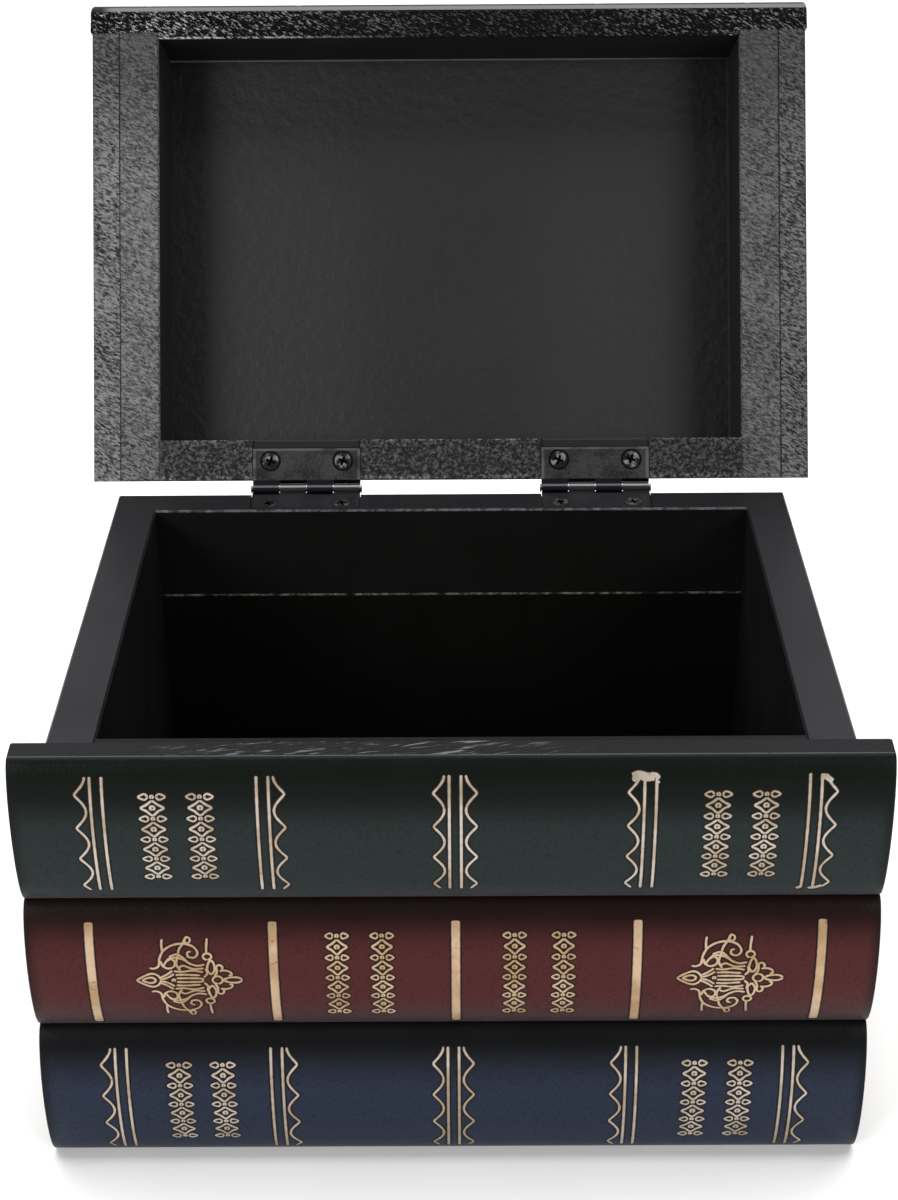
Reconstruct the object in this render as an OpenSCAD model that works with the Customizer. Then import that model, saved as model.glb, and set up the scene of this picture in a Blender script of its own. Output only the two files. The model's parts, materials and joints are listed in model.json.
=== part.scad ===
// A keepsake box shaped like a stack of four old books. The three lower books are the box, and
// the top book is its lid, hinged at the back and drawn standing open. The spines face -Y, the
// book widths run along X, and the box rests on z = 0 with the origin under its middle.

/* [Box] */
// Width over the page edges
box_w = 234; // [200:1:320]
// Depth from the back of the spines to the back of the box
box_d = 159; // [120:1:220]
// Height of the green book, at the top of the box
green_h = 50; // [42:0.5:60]
// Height of the burgundy book, in the middle
burgundy_h = 47.5; // [30:0.5:60]
// Height of the navy book, at the bottom
navy_h = 51; // [34:0.5:70]
// Height of the lid book
lid_h = 47; // [41:0.5:60]

/* [Boards] */
// Thickness of the side walls of the box
side_t = 14.3; // [8:0.1:20]
// Thickness of the back wall of the box
back_t = 12.5; // [12:0.5:20]
// Thickness of the thin front panel behind the spines
front_t = 2; // [1.5:0.5:6]
// Thickness of the floor panel
floor_t = 9; // [3:0.5:15]
// Height of the upper board of the back wall
upper_board_h = 33; // [20:0.5:60]
// How far the lower board of the back wall stands proud inside
ledge = 1; // [0.5:0.1:3]
// Width of the bevel along the rim and along the lid's underside
rim_bevel = 0.6; // [0.2:0.1:1.5]

/* [Covers] */
// Thickness of each cover board and cover strip
cover_t = 5; // [3:0.5:7]
// How far the covers stand out at the sides
side_overhang = 9.5; // [4:0.5:14]
// How far the covers stand out at the back
back_overhang = 2; // [1:0.5:3]
// Radius of the covers' outer edges
cover_round = 1.2; // [0.4:0.1:1.5]

/* [Page edges] */
// Distance from one page line to the next
page_pitch = 2.4; // [1.6:0.1:5]
// Depth of a page line
page_depth = 0.5; // [0.2:0.1:0.8]
// Least plain band above and below the page lines
page_margin = 1.6; // [1:0.1:4]

/* [Spines] */
// How far a spine stands out past the covers at each end
spine_proud = 0.5; // [0.2:0.1:1.5]
// Thickness of a spine at its upper and lower edge
spine_lip = 6.8; // [4:0.2:9]
// Thickness of the green spine at its fullest
green_full = 13.6; // [10:0.1:24]
// Thickness of the burgundy spine at its fullest
burgundy_full = 15; // [10:0.1:24]
// Thickness of the navy spine at its fullest
navy_full = 15.8; // [10:0.1:24]
// Thickness of the lid spine at its fullest
lid_full = 13.6; // [10:0.1:24]

/* [Lid] */
// Thickness of the lid's side walls
lid_side_t = 14.2; // [8:0.1:20]
// Thickness of the lid's back rail
lid_back_t = 14.5; // [13:0.5:20]
// Thickness of the panel that closes the recess in the lid
lid_panel_t = 12; // [3:0.5:15]
// Space between the closed lid and the rim
lid_gap = 0.6; // [0.5:0.1:1]
// Angle by which the back of the lid leans in from square
lid_back_lean = 4.5; // [3:0.5:6]
// Angle between the closed lid and the open lid
open_angle = 120; // [90:0.5:125]

/* [Hinges] */
// Length of a hinge along its pin
hinge_len = 38; // [34:1:50]
// Distance from the middle of the box to the middle of a hinge
hinge_x = 51; // [40:1:60]
// Thickness of a hinge leaf
leaf_t = 1.2; // [0.8:0.1:1.4]
// Width of a leaf, from the pin's axis to its far edge
leaf_w = 14.5; // [14.2:0.1:15]
// Diameter of the knuckles
barrel_d = 3.6; // [3.2:0.1:4.4]
// Diameter of the hinge pin
pin_d = 1.8; // [1.4:0.1:2]
// Distance from the back of the box to the pin's axis
pin_back = 3.1; // [2.8:0.1:3.6]
// Radial running clearance of the pin in its knuckles
pin_fit = 0.05; // [0.02:0.01:0.1]
// Gap between neighbouring knuckles
knuckle_gap = 0.3; // [0.2:0.05:0.5]
// Gap between a leaf and the edge of its mortise
mortise_gap = 0.25; // [0.1:0.05:0.5]

/* [Screws] */
// Diameter of the screw heads
head_d = 6.2; // [5:0.2:6.6]
// Diameter of the screw shanks
shank_d = 2.6; // [2:0.1:3]
// Length of a screw
screw_len = 12; // [8:0.5:16]
// Distance between the two screws of a leaf
screw_pitch = 25.6; // [20:0.2:28]
// Distance from the back of the box to the screws
screw_back = 7; // [6.6:0.1:7.4]
// Clearance round a screw in the leaf and in the wood
screw_fit = 0.05; // [0.03:0.01:0.1]
// Width of the cross slot's arms
slot_w = 0.9; // [0.6:0.1:1.2]
// Length of the cross slot's arms from tip to tip
slot_len = 3.4; // [2.4:0.1:4]
// Depth of the cross slot
slot_depth = 0.9; // [0.5:0.1:1.1]

/* [Hidden] */

$fn = 48;
arc_steps = 28;
round_steps = 5;
cut = 1;

// Heights above the table
navy_z = 0;
burgundy_z = navy_z + navy_h;
green_z = burgundy_z + burgundy_h;
rim_z = green_z + green_h;
lid_z = rim_z + lid_gap;
pin_z = rim_z + lid_gap / 2;

// Planes of the box
wall_x = box_w / 2;
cover_x = wall_x + side_overhang;
spine_x = cover_x + spine_proud;
lid_slope = tan(lid_back_lean);
front_y = -box_d / 2;
back_y = box_d / 2;
cover_y = back_y + back_overhang;
pin_y = back_y + pin_back;

// The knuckles stand in four places along the pin, counted from the left
knuckle_count = 4;
lid_knuckles = [for (i = [0:2:knuckle_count - 1]) i];
box_knuckles = [for (i = [1:2:knuckle_count - 1]) i];
knuckle_len = hinge_len / knuckle_count;
pin_head_rim = 0.45;
pin_head_d = pin_d + 2 * pin_head_rim;
pin_head_t = 0.5;
pin_head_gap = 0.1;

// How far a screw's cross slot is turned from the hinge's own direction
slot_turn = 20;

green_c = [0.10, 0.17, 0.14];
burgundy_c = [0.30, 0.10, 0.12];
navy_c = [0.13, 0.16, 0.25];
black_c = [0.12, 0.12, 0.13];
dark_c = [0.20, 0.20, 0.22];
metal_c = [0.30, 0.30, 0.32];

// Heights of the page lines between two covers, centred, one page_pitch apart
function page_lines(low, high) =
    let (count = floor((high - low - 2 * page_margin) / page_pitch))
    let (first = (low + high - count * page_pitch) / 2)
    [for (i = [0:count]) first + i * page_pitch];

// Page line heights of the three box books, and of the lid in its closed place
box_lines = concat(
    page_lines(navy_z + cover_t, burgundy_z - cover_t),
    page_lines(burgundy_z + cover_t, green_z - cover_t),
    page_lines(green_z + cover_t, rim_z)
);
lid_lines = page_lines(lid_z + cover_t, lid_z + lid_h - cover_t);

// The points of a V-shaped line in a face that stands at the distance face
function line_points(face, height) = [
    [face, height - page_depth],
    [face - page_depth, height],
    [face, height + page_depth]
];

// Upright section of a board from inside to outside, with the page lines that fit on the outside.
// The outside leans in by slope for each millimetre of height.
module board_section(inside, outside, low, high, lines, bevel_low, bevel_high, slope = 0) {
    function face(height) = outside - slope * (height - low);
    polygon(concat(
        [[inside, high - bevel_high], [inside, low + bevel_low], [inside + bevel_low, low]],
        [[outside - bevel_low, low], [face(low + bevel_low), low + bevel_low]],
        [for (height = lines)
            if (height - page_depth > low + bevel_low && height + page_depth < high - bevel_high)
                each line_points(face(height), height)],
        [[face(high - bevel_high), high - bevel_high], [face(high) - bevel_high, high]],
        [[inside + bevel_high, high]]
    ));
}

// Right-hand side wall, mitred at the back against a back wall of the thickness back
module side_board(thick, back, low, high, lines, bevel_high) {
    inner_x = wall_x - thick;
    intersection() {
        translate([0, back_y, 0])
            rotate([90, 0, 0])
                linear_extrude(box_d)
                    board_section(inner_x, wall_x, low, high, lines, 0, bevel_high);
        translate([0, 0, low])
            linear_extrude(high - low)
                polygon([
                    [inner_x, front_y], [wall_x, front_y],
                    [wall_x, back_y], [inner_x, back_y - back]
                ]);
    }
}

// Back board mitred at both ends against side walls of the thickness side
module back_board(thick, side, low, high, lines, proud, bevel_high) {
    inner_x = wall_x - side;
    inner_y = back_y - thick;
    intersection() {
        translate([-wall_x, 0, 0])
            rotate([90, 0, 90])
                linear_extrude(box_w)
                    board_section(inner_y - proud, back_y, low, high, lines, 0, bevel_high);
        translate([0, 0, low])
            linear_extrude(high - low)
                polygon([
                    [wall_x, back_y], [-wall_x, back_y], [-inner_x, inner_y],
                    [-inner_x, inner_y - proud], [inner_x, inner_y - proud], [inner_x, inner_y]
                ]);
    }
}

// Section of a spine: a flat back, two narrow lips and half an ellipse between them
module spine_section(height, full) {
    polygon(concat(
        [[0, height], [0, 0]],
        [for (i = [0:arc_steps])
            let (a = 180 * i / arc_steps)
            [-spine_lip - (full - spine_lip) * sin(a), height * (1 - cos(a)) / 2]]
    ));
}

module spine(low, height, full) {
    translate([-spine_x, front_y, low])
        rotate([90, 0, 90])
            linear_extrude(2 * spine_x)
                spine_section(height, full);
}

// Points of a quarter circle round the centre c, from the angle a to a + 90
function quarter(c, r, a) = [
    for (i = [0:round_steps])
        let (b = a + 90 * i / round_steps)
        [c[0] + r * cos(b), c[1] + r * sin(b)]
];

// Right-hand cover strip with a rounded outer edge, from the spine to the plane end_y
module side_strip(low, end_y) {
    translate([wall_x, end_y, low])
        rotate([90, 0, 0])
            linear_extrude(end_y - front_y)
                polygon(concat(
                    [[0, cover_t], [0, 0]],
                    quarter([side_overhang - cover_round, cover_round], cover_round, -90),
                    quarter([side_overhang - cover_round, cover_t - cover_round], cover_round, 0)
                ));
}

module back_strip(low) {
    edge = min(cover_round, back_overhang / 2);
    translate([-wall_x, back_y, low])
        rotate([90, 0, 90])
            linear_extrude(box_w)
                polygon(concat(
                    [[0, cover_t], [0, 0]],
                    quarter([back_overhang - edge, edge], edge, -90),
                    quarter([back_overhang - edge, cover_t - edge], edge, 0)
                ));
}

// Whole cover board with its long edges rounded, from the spine to the plane end_y
module cover_board(low, end_y) {
    translate([0, end_y, low])
        rotate([90, 0, 0])
            linear_extrude(end_y - front_y)
                polygon(concat(
                    quarter([-cover_x + cover_round, cover_round], cover_round, 180),
                    quarter([cover_x - cover_round, cover_round], cover_round, -90),
                    quarter([cover_x - cover_round, cover_t - cover_round], cover_round, 0),
                    quarter([-cover_x + cover_round, cover_t - cover_round], cover_round, 90)
                ));
}

// Places something at each hinge's middle, on the pin's axis
module at_hinges() {
    for (side = [-1, 1])
        translate([side * hinge_x, pin_y, pin_z])
            children();
}

// One leaf lying under the pin's axis, with the knuckles at the places in own
module hinge_leaf(own, others) {
    difference() {
        union() {
            translate([-hinge_len / 2, -leaf_w, -lid_gap / 2 - leaf_t])
                cube([hinge_len, leaf_w, leaf_t]);
            for (i = own)
                knuckle(i, barrel_d / 2, -knuckle_gap / 2);
        }
        for (i = others)
            knuckle(i, barrel_d / 2 + knuckle_gap, knuckle_gap / 2);
        rotate([0, 90, 0])
            cylinder(d = pin_d + 2 * pin_fit, h = hinge_len + 2 * cut, center = true);
        leaf_screw_holes();
    }
}

// The round of the knuckle at the place i, each end moved outwards by more
module knuckle(i, radius, more) {
    translate([(i + 0.5) * knuckle_len - hinge_len / 2, 0, 0])
        rotate([0, 90, 0])
            cylinder(r = radius, h = knuckle_len + 2 * more, center = true);
}

// Moves something to the two screws of a leaf, at the leaf's outer face
module at_leaf_screws() {
    for (side = [-1, 1])
        translate([side * screw_pitch / 2, -pin_back - screw_back, -lid_gap / 2])
            children();
}

module leaf_screw_holes() {
    at_leaf_screws() {
        translate([0, 0, -leaf_t - cut])
            cylinder(d = shank_d + 2 * screw_fit, h = leaf_t + 2 * cut);
        translate([0, 0, -leaf_t])
            cylinder(d1 = shank_d + 2 * screw_fit, d2 = head_d + 2 * screw_fit, h = leaf_t);
    }
}

// Wood screw with a countersunk head and a cross slot, pointing down from z = 0
module screw() {
    tip = shank_d;
    difference() {
        union() {
            translate([0, 0, -leaf_t])
                cylinder(d1 = shank_d, d2 = head_d, h = leaf_t);
            translate([0, 0, -screw_len + tip])
                cylinder(d = shank_d, h = screw_len - tip - leaf_t);
            translate([0, 0, -screw_len])
                cylinder(d1 = shank_d / 4, d2 = shank_d, h = tip);
        }
        for (a = [0, 90])
            rotate([0, 0, a + slot_turn])
                cube([slot_len, slot_w, 2 * slot_depth], center = true);
    }
}

module screw_pilot() {
    translate([0, 0, -screw_len - screw_fit])
        cylinder(d = shank_d + 2 * screw_fit, h = screw_len + cut);
}

// The mortise of one leaf, cut down from the face that the leaf lies flush with
module leaf_mortise() {
    translate([-hinge_len / 2 - mortise_gap, -leaf_w - mortise_gap, -lid_gap / 2 - leaf_t])
        cube([hinge_len + 2 * mortise_gap, leaf_w + mortise_gap, leaf_t + cut]);
    at_leaf_screws()
        screw_pilot();
}

// Turns something that lies under the pin's axis over to the lid's side of it
module on_lid_side() {
    mirror([0, 0, 1])
        children();
}

// Turns the closed lid round the pin to the open place
module opened() {
    translate([0, pin_y, pin_z])
        rotate([-open_angle, 0, 0])
            translate([0, -pin_y, -pin_z])
                children();
}

module bottom_board() {
    color(navy_c)
        cover_board(navy_z, cover_y);
}

module floor_panel() {
    inner_x = wall_x - side_t;
    inner_y = back_y - back_t - ledge;
    color(black_c)
        translate([-inner_x, front_y + front_t, cover_t])
            cube([2 * inner_x, inner_y - front_y - front_t, floor_t]);
}

module right_wall() {
    color(dark_c)
        side_board(side_t, back_t, cover_t, rim_z, box_lines, rim_bevel);
}

module left_wall() {
    mirror([1, 0, 0])
        right_wall();
}

module front_panel() {
    inner_x = wall_x - side_t;
    color(dark_c)
        translate([-inner_x, front_y, cover_t])
            cube([2 * inner_x, front_t, rim_z - cover_t]);
}

module back_upper_board() {
    color(dark_c)
        difference() {
            back_board(back_t, side_t, rim_z - upper_board_h, rim_z, box_lines, 0, rim_bevel);
            at_hinges()
                leaf_mortise();
        }
}

module back_lower_board() {
    color(black_c)
        back_board(back_t, side_t, cover_t, rim_z - upper_board_h, box_lines, ledge, 0);
}

module green_spine() {
    color(green_c)
        spine(green_z, green_h, green_full);
}

module burgundy_spine() {
    color(burgundy_c)
        spine(burgundy_z, burgundy_h, burgundy_full);
}

module navy_spine() {
    color(navy_c)
        spine(navy_z, navy_h, navy_full);
}

module green_cover_right() {
    color(green_c)
        side_strip(green_z, cover_y);
}

module green_cover_left() {
    mirror([1, 0, 0])
        green_cover_right();
}

module green_cover_back() {
    color(green_c)
        back_strip(green_z);
}

module burgundy_upper_cover_right() {
    color(burgundy_c)
        side_strip(green_z - cover_t, cover_y);
}

module burgundy_upper_cover_left() {
    mirror([1, 0, 0])
        burgundy_upper_cover_right();
}

module burgundy_upper_cover_back() {
    color(burgundy_c)
        back_strip(green_z - cover_t);
}

module burgundy_lower_cover_right() {
    color(burgundy_c)
        side_strip(burgundy_z, cover_y);
}

module burgundy_lower_cover_left() {
    mirror([1, 0, 0])
        burgundy_lower_cover_right();
}

module burgundy_lower_cover_back() {
    color(burgundy_c)
        back_strip(burgundy_z);
}

module navy_upper_cover_right() {
    color(navy_c)
        side_strip(burgundy_z - cover_t, cover_y);
}

module navy_upper_cover_left() {
    mirror([1, 0, 0])
        navy_upper_cover_right();
}

module navy_upper_cover_back() {
    color(navy_c)
        back_strip(burgundy_z - cover_t);
}

module hinge_box_leaf(side) {
    color(metal_c)
        translate([side * hinge_x, pin_y, pin_z])
            hinge_leaf(box_knuckles, lid_knuckles);
}

module left_hinge_box_leaf() {
    hinge_box_leaf(-1);
}

module right_hinge_box_leaf() {
    hinge_box_leaf(1);
}

// Pin with a small peened head past each end of the knuckles
module hinge_pin(side) {
    color(metal_c)
        translate([side * hinge_x, pin_y, pin_z])
            rotate([0, 90, 0]) {
                cylinder(d = pin_d, h = hinge_len + 2 * pin_head_gap, center = true);
                for (end = [-1, 1])
                    translate([0, 0, end * (hinge_len / 2 + pin_head_gap + pin_head_t / 2)])
                        cylinder(d = pin_head_d, h = pin_head_t, center = true);
            }
}

module left_hinge_pin() {
    hinge_pin(-1);
}

module right_hinge_pin() {
    hinge_pin(1);
}

module box_leaf_screws() {
    color(metal_c)
        at_hinges()
            at_leaf_screws()
                screw();
}

// Right-hand side wall of the closed lid, with the page lines carried round its back end
module lid_right_wall_closed() {
    inner_x = wall_x - lid_side_t;
    top_z = lid_z + lid_h - cover_t;
    intersection() {
        translate([0, back_y, 0])
            rotate([90, 0, 0])
                linear_extrude(box_d)
                    board_section(inner_x, wall_x, lid_z, top_z, lid_lines, rim_bevel, 0);
        translate([inner_x, 0, 0])
            rotate([90, 0, 90])
                linear_extrude(lid_side_t)
                    board_section(front_y - 2 * rim_bevel, back_y, lid_z, top_z, lid_lines,
                        rim_bevel, 0, lid_slope);
    }
}

module lid_right_wall() {
    color(black_c)
        opened()
            lid_right_wall_closed();
}

module lid_left_wall() {
    color(black_c)
        opened()
            mirror([1, 0, 0])
                lid_right_wall_closed();
}

module lid_front_panel() {
    inner_x = wall_x - lid_side_t;
    color(black_c)
        opened()
            translate([-inner_x, front_y, lid_z])
                cube([2 * inner_x, front_t, lid_h - cover_t]);
}

// The back rail stands between the side walls
module lid_back_rail() {
    inner_x = wall_x - lid_side_t;
    color(black_c)
        opened()
            difference() {
                translate([-inner_x, 0, 0])
                    rotate([90, 0, 90])
                        linear_extrude(2 * inner_x)
                            board_section(back_y - lid_back_t, back_y, lid_z,
                                lid_z + lid_h - cover_t, lid_lines, rim_bevel, 0, lid_slope);
                at_hinges()
                    on_lid_side()
                        leaf_mortise();
            }
}

module lid_inner_panel() {
    inner_x = wall_x - lid_side_t;
    inner_y = back_y - lid_back_t;
    color(dark_c)
        opened()
            translate([-inner_x, front_y + front_t, lid_z + lid_h - cover_t - lid_panel_t])
                cube([2 * inner_x, inner_y - front_y - front_t, lid_panel_t]);
}

module lid_top_board() {
    color(black_c)
        opened()
            cover_board(lid_z + lid_h - cover_t, back_y - lid_slope * (lid_h - cover_t));
}

// Cover strip of the closed lid, its end cut to the lean of the lid's back
module lid_strip_right_closed() {
    difference() {
        side_strip(lid_z, back_y);
        translate([wall_x, 0, 0])
            rotate([90, 0, 90])
                linear_extrude(side_overhang + cut)
                    polygon([
                        [back_y, lid_z], [back_y + cut, lid_z],
                        [back_y + cut, lid_z + cover_t + cut],
                        [back_y - lid_slope * (cover_t + cut), lid_z + cover_t + cut]
                    ]);
    }
}

module lid_strip_right() {
    color(black_c)
        opened()
            lid_strip_right_closed();
}

module lid_strip_left() {
    color(black_c)
        opened()
            mirror([1, 0, 0])
                lid_strip_right_closed();
}

module lid_spine() {
    color(black_c)
        opened()
            spine(lid_z, lid_h, lid_full);
}

module hinge_lid_leaf(side) {
    color(metal_c)
        opened()
            translate([side * hinge_x, pin_y, pin_z])
                on_lid_side()
                    hinge_leaf(lid_knuckles, box_knuckles);
}

module left_hinge_lid_leaf() {
    hinge_lid_leaf(-1);
}

module right_hinge_lid_leaf() {
    hinge_lid_leaf(1);
}

module lid_leaf_screws() {
    color(metal_c)
        opened()
            at_hinges()
                on_lid_side()
                    at_leaf_screws()
                        screw();
}

bottom_board();
floor_panel();
left_wall();
right_wall();
front_panel();
back_upper_board();
back_lower_board();
green_spine();
burgundy_spine();
navy_spine();
green_cover_left();
green_cover_right();
green_cover_back();
burgundy_upper_cover_left();
burgundy_upper_cover_right();
burgundy_upper_cover_back();
burgundy_lower_cover_left();
burgundy_lower_cover_right();
burgundy_lower_cover_back();
navy_upper_cover_left();
navy_upper_cover_right();
navy_upper_cover_back();
left_hinge_box_leaf();
right_hinge_box_leaf();
left_hinge_pin();
right_hinge_pin();
box_leaf_screws();
lid_left_wall();
lid_right_wall();
lid_front_panel();
lid_back_rail();
lid_inner_panel();
lid_top_board();
lid_strip_left();
lid_strip_right();
lid_spine();
left_hinge_lid_leaf();
right_hinge_lid_leaf();
lid_leaf_screws();
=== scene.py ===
import json
import math

import bpy
import numpy as np
from mathutils import Matrix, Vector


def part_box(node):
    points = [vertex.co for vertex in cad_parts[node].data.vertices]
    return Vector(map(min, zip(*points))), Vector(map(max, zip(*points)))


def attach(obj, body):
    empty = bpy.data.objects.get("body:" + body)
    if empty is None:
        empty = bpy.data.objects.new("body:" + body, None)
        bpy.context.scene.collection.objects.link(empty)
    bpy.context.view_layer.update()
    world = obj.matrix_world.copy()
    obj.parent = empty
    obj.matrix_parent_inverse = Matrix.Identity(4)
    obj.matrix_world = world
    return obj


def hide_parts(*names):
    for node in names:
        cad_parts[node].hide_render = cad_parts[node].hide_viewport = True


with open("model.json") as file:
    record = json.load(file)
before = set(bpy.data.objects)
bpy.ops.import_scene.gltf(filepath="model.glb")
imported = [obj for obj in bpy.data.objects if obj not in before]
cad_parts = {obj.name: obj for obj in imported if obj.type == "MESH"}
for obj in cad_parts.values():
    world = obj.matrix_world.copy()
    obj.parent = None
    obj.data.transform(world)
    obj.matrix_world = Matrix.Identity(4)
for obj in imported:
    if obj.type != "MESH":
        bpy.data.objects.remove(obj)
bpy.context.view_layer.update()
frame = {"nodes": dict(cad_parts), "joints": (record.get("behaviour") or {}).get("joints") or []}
nodes = frame["nodes"]


# Camera
# The photograph was taken from in front and above with a normal lens. The place, the turn and
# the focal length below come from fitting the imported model's corners to the photograph.
MM = 0.001
CAMERA_PLACE_MM = (2.45, -598.92, 488.45)
CAMERA_PITCH, CAMERA_YAW, CAMERA_ROLL = (math.radians(a) for a in (29.456, -0.289, -0.445))
LENS_MM, FILM_MM = 64.529, 36


def added(name, data):
    """A new object in the scene."""
    made = bpy.data.objects.new(name, data)
    bpy.context.scene.collection.objects.link(made)
    return made


def aimed(thing, place, sideways, up, back):
    """Puts an object at a place, with its X, Y and Z along three directions."""
    matrix = np.eye(4)
    matrix[:3, :3] = np.stack([sideways, up, back], axis=1)
    matrix[:3, 3] = place
    thing.matrix_world = Matrix(matrix.tolist())


camera = added("camera", bpy.data.cameras.new("camera"))
camera.data.sensor_width = FILM_MM
camera.data.lens = LENS_MM
camera.data.clip_start = 0.05
ahead = np.array([math.sin(CAMERA_YAW) * math.cos(CAMERA_PITCH),
                  math.cos(CAMERA_YAW) * math.cos(CAMERA_PITCH),
                  -math.sin(CAMERA_PITCH)])
level = np.array([math.cos(CAMERA_YAW), -math.sin(CAMERA_YAW), 0.0])
upward = np.cross(level, ahead)
roll_cos, roll_sin = math.cos(CAMERA_ROLL), math.sin(CAMERA_ROLL)
aimed(camera, np.array(CAMERA_PLACE_MM) * MM, roll_cos * level + roll_sin * upward,
      roll_cos * upward - roll_sin * level, -ahead)
bpy.context.scene.camera = camera


# Boards of the box
# The box is built of wooden boards: two side walls, a back wall of an upper and a lower board,
# a thin front panel and a floor panel. They are glued together and painted black, satin on the
# rim and duller inside. The milled outsides of the walls are painted as old page edges.
def corners(name):
    """The lowest and highest corners of a CAD node at rest, to the nearest micrometre."""
    return [[round(value, 6) for value in corner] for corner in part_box(name)]


WALL_X, WALL_REAR, RIM = corners("right_wall")[1]
WALL_INSIDE = corners("right_wall")[0][0]
BACK_INSIDE, LEDGE = corners("back_upper_board")[0][1:]
RIM_BEVEL = 0.6 * MM
# The milled page lines lie within this depth of the outer faces.
PAGE_SKIN = 0.75 * MM


def shader(tree, kind, settings=None, **inputs):
    """Adds one shader node. Settings go to the node itself. Each input is a value or another
    node's output, and has the socket's name with underscores for spaces, or its number."""
    made = tree.nodes.new("ShaderNode" + kind)
    for key, value in (settings or {}).items():
        setattr(made, key, value)
    for key, value in inputs.items():
        socket = made.inputs[int(key[1:]) if key[0] == "_" else key.replace("_", " ")]
        if isinstance(value, bpy.types.NodeSocket):
            tree.links.new(value, socket)
        else:
            socket.default_value = value
    return made


def calc(tree, operation, *values):
    """One Math node, and its result."""
    inputs = {"_%d" % i: value for i, value in enumerate(values)}
    return shader(tree, "Math", {"operation": operation}, **inputs).outputs[0]


def chained(tree, operation, values):
    """The values joined from first to last by one operation."""
    result = values[0]
    for value in values[1:]:
        result = calc(tree, operation, result, value)
    return result


def times(tree, *values):
    """The product of values or masks."""
    return chained(tree, "MULTIPLY", values)


def plus(tree, *values):
    """The sum of values."""
    return chained(tree, "ADD", values)


def largest(tree, *values):
    """The largest of values, or the union of masks."""
    return chained(tree, "MAXIMUM", values)


def outside(tree, mask):
    """One minus a mask."""
    return calc(tree, "SUBTRACT", 1.0, mask)


def distance(tree, value, middle):
    """How far a value is from a middle, either way."""
    return calc(tree, "ABSOLUTE", calc(tree, "SUBTRACT", value, middle))


def between(tree, value, low, high, start=0.0, end=1.0):
    """A smooth step that goes from start to end while value goes from low to high."""
    made = shader(tree, "MapRange", {"interpolation_type": "SMOOTHSTEP"},
                  Value=value, From_Min=low, From_Max=high, To_Min=start, To_Max=end)
    return made.outputs[0]


def past(tree, value, plane, blur=0.05 * MM):
    """A mask that is 0 up to the plane and 1 from blur past it. A negative blur goes the other
    way, so that the mask is 1 short of the plane."""
    return between(tree, value, plane, plane + blur)


def axes(tree, place):
    """The x, y and z of a place."""
    return list(shader(tree, "SeparateXYZ", Vector=place).outputs)


def grey(value):
    """A neutral colour."""
    return (value, value, value, 1)


def neutral(tree, value):
    """A neutral colour whose brightness is another node's value."""
    return shader(tree, "CombineColor", Red=value, Green=value, Blue=value).outputs[0]


def marked(tree, label):
    """A value that make_piece gave to each point of the mesh."""
    return shader(tree, "Attribute", {"attribute_name": label}).outputs["Fac"]


def blended(tree, share, first, second):
    """The colour first where share is 0 and second where it is 1."""
    made = shader(tree, "Mix", {"data_type": "RGBA"}, _0=share, _6=first, _7=second)
    return made.outputs[2]


def noise(tree, place, scale, detail=3.0, roughness=0.5, distortion=0.0):
    """Noise with scale bumps a metre."""
    made = shader(tree, "TexNoise", Vector=place, Scale=scale, Detail=detail,
                  Roughness=roughness, Distortion=distortion)
    return made.outputs["Fac"]


def scaled_by(tree, place, size):
    """A place multiplied by a size, along all three axes."""
    return shader(tree, "VectorMath", {"operation": "SCALE"}, _0=place,
                  Scale=size).outputs[0]


def new_group(name, inputs, outputs):
    """An empty node group. Inputs and outputs are pairs of a name and a kind of socket."""
    tree = bpy.data.node_groups.new(name, "ShaderNodeTree")
    for in_out, sockets in (("INPUT", inputs), ("OUTPUT", outputs)):
        for label, kind in sockets:
            tree.interface.new_socket(label, in_out=in_out, socket_type="NodeSocket" + kind)
    start = tree.nodes.new("NodeGroupInput").outputs
    end = tree.nodes.new("NodeGroupOutput").inputs
    return tree, start, end


def placed(tree, group, **inputs):
    """Puts a node group into a material and gives back its outputs."""
    return shader(tree, "Group", {"node_tree": group}, **inputs).outputs


def new_finish(name, **shell):
    """An empty material with one Principled shader, whose plain values are in shell. It gives
    back the material, its node tree, the shader's inputs and the object's own coordinates."""
    material = bpy.data.materials.new(name)
    material.use_nodes = True
    tree = material.node_tree
    tree.nodes.clear()
    surface = shader(tree, "BsdfPrincipled", **shell)
    shader(tree, "OutputMaterial", Surface=surface.outputs[0])
    place = shader(tree, "TexCoord").outputs["Object"]
    return material, tree, surface.inputs, place


def finished(tree, surface, height, depth, **values):
    """Gives the shader a bump whose full height is depth metres, and links other values."""
    made = shader(tree, "Bump", Strength=1.0, Distance=depth, Height=height)
    for key, value in dict(values, Normal=made.outputs[0]).items():
        tree.links.new(value, surface[key.replace("_", " ")])


def dress(material, *names):
    """Gives CAD nodes one material."""
    for name in names:
        nodes[name].data.materials.clear()
        nodes[name].data.materials.append(material)


# Rolled paint leaves a faint orange peel, finer grit and a few dull patches.
paint_film, given, result = new_group(
    "paint_film", [("Place", "Vector"), ("Size", "Float")],
    [("Height", "Float"), ("Patches", "Float")])
grit = noise(paint_film, given["Place"], 900.0, 4.0)
peel = noise(paint_film, given["Place"], 260.0)
paint_film.links.new(plus(paint_film, times(paint_film, grit, 0.35),
                          times(paint_film, peel, given["Size"])), result["Height"])
paint_film.links.new(noise(paint_film, given["Place"], 22.0, 5.0, 0.6), result["Patches"])

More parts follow.
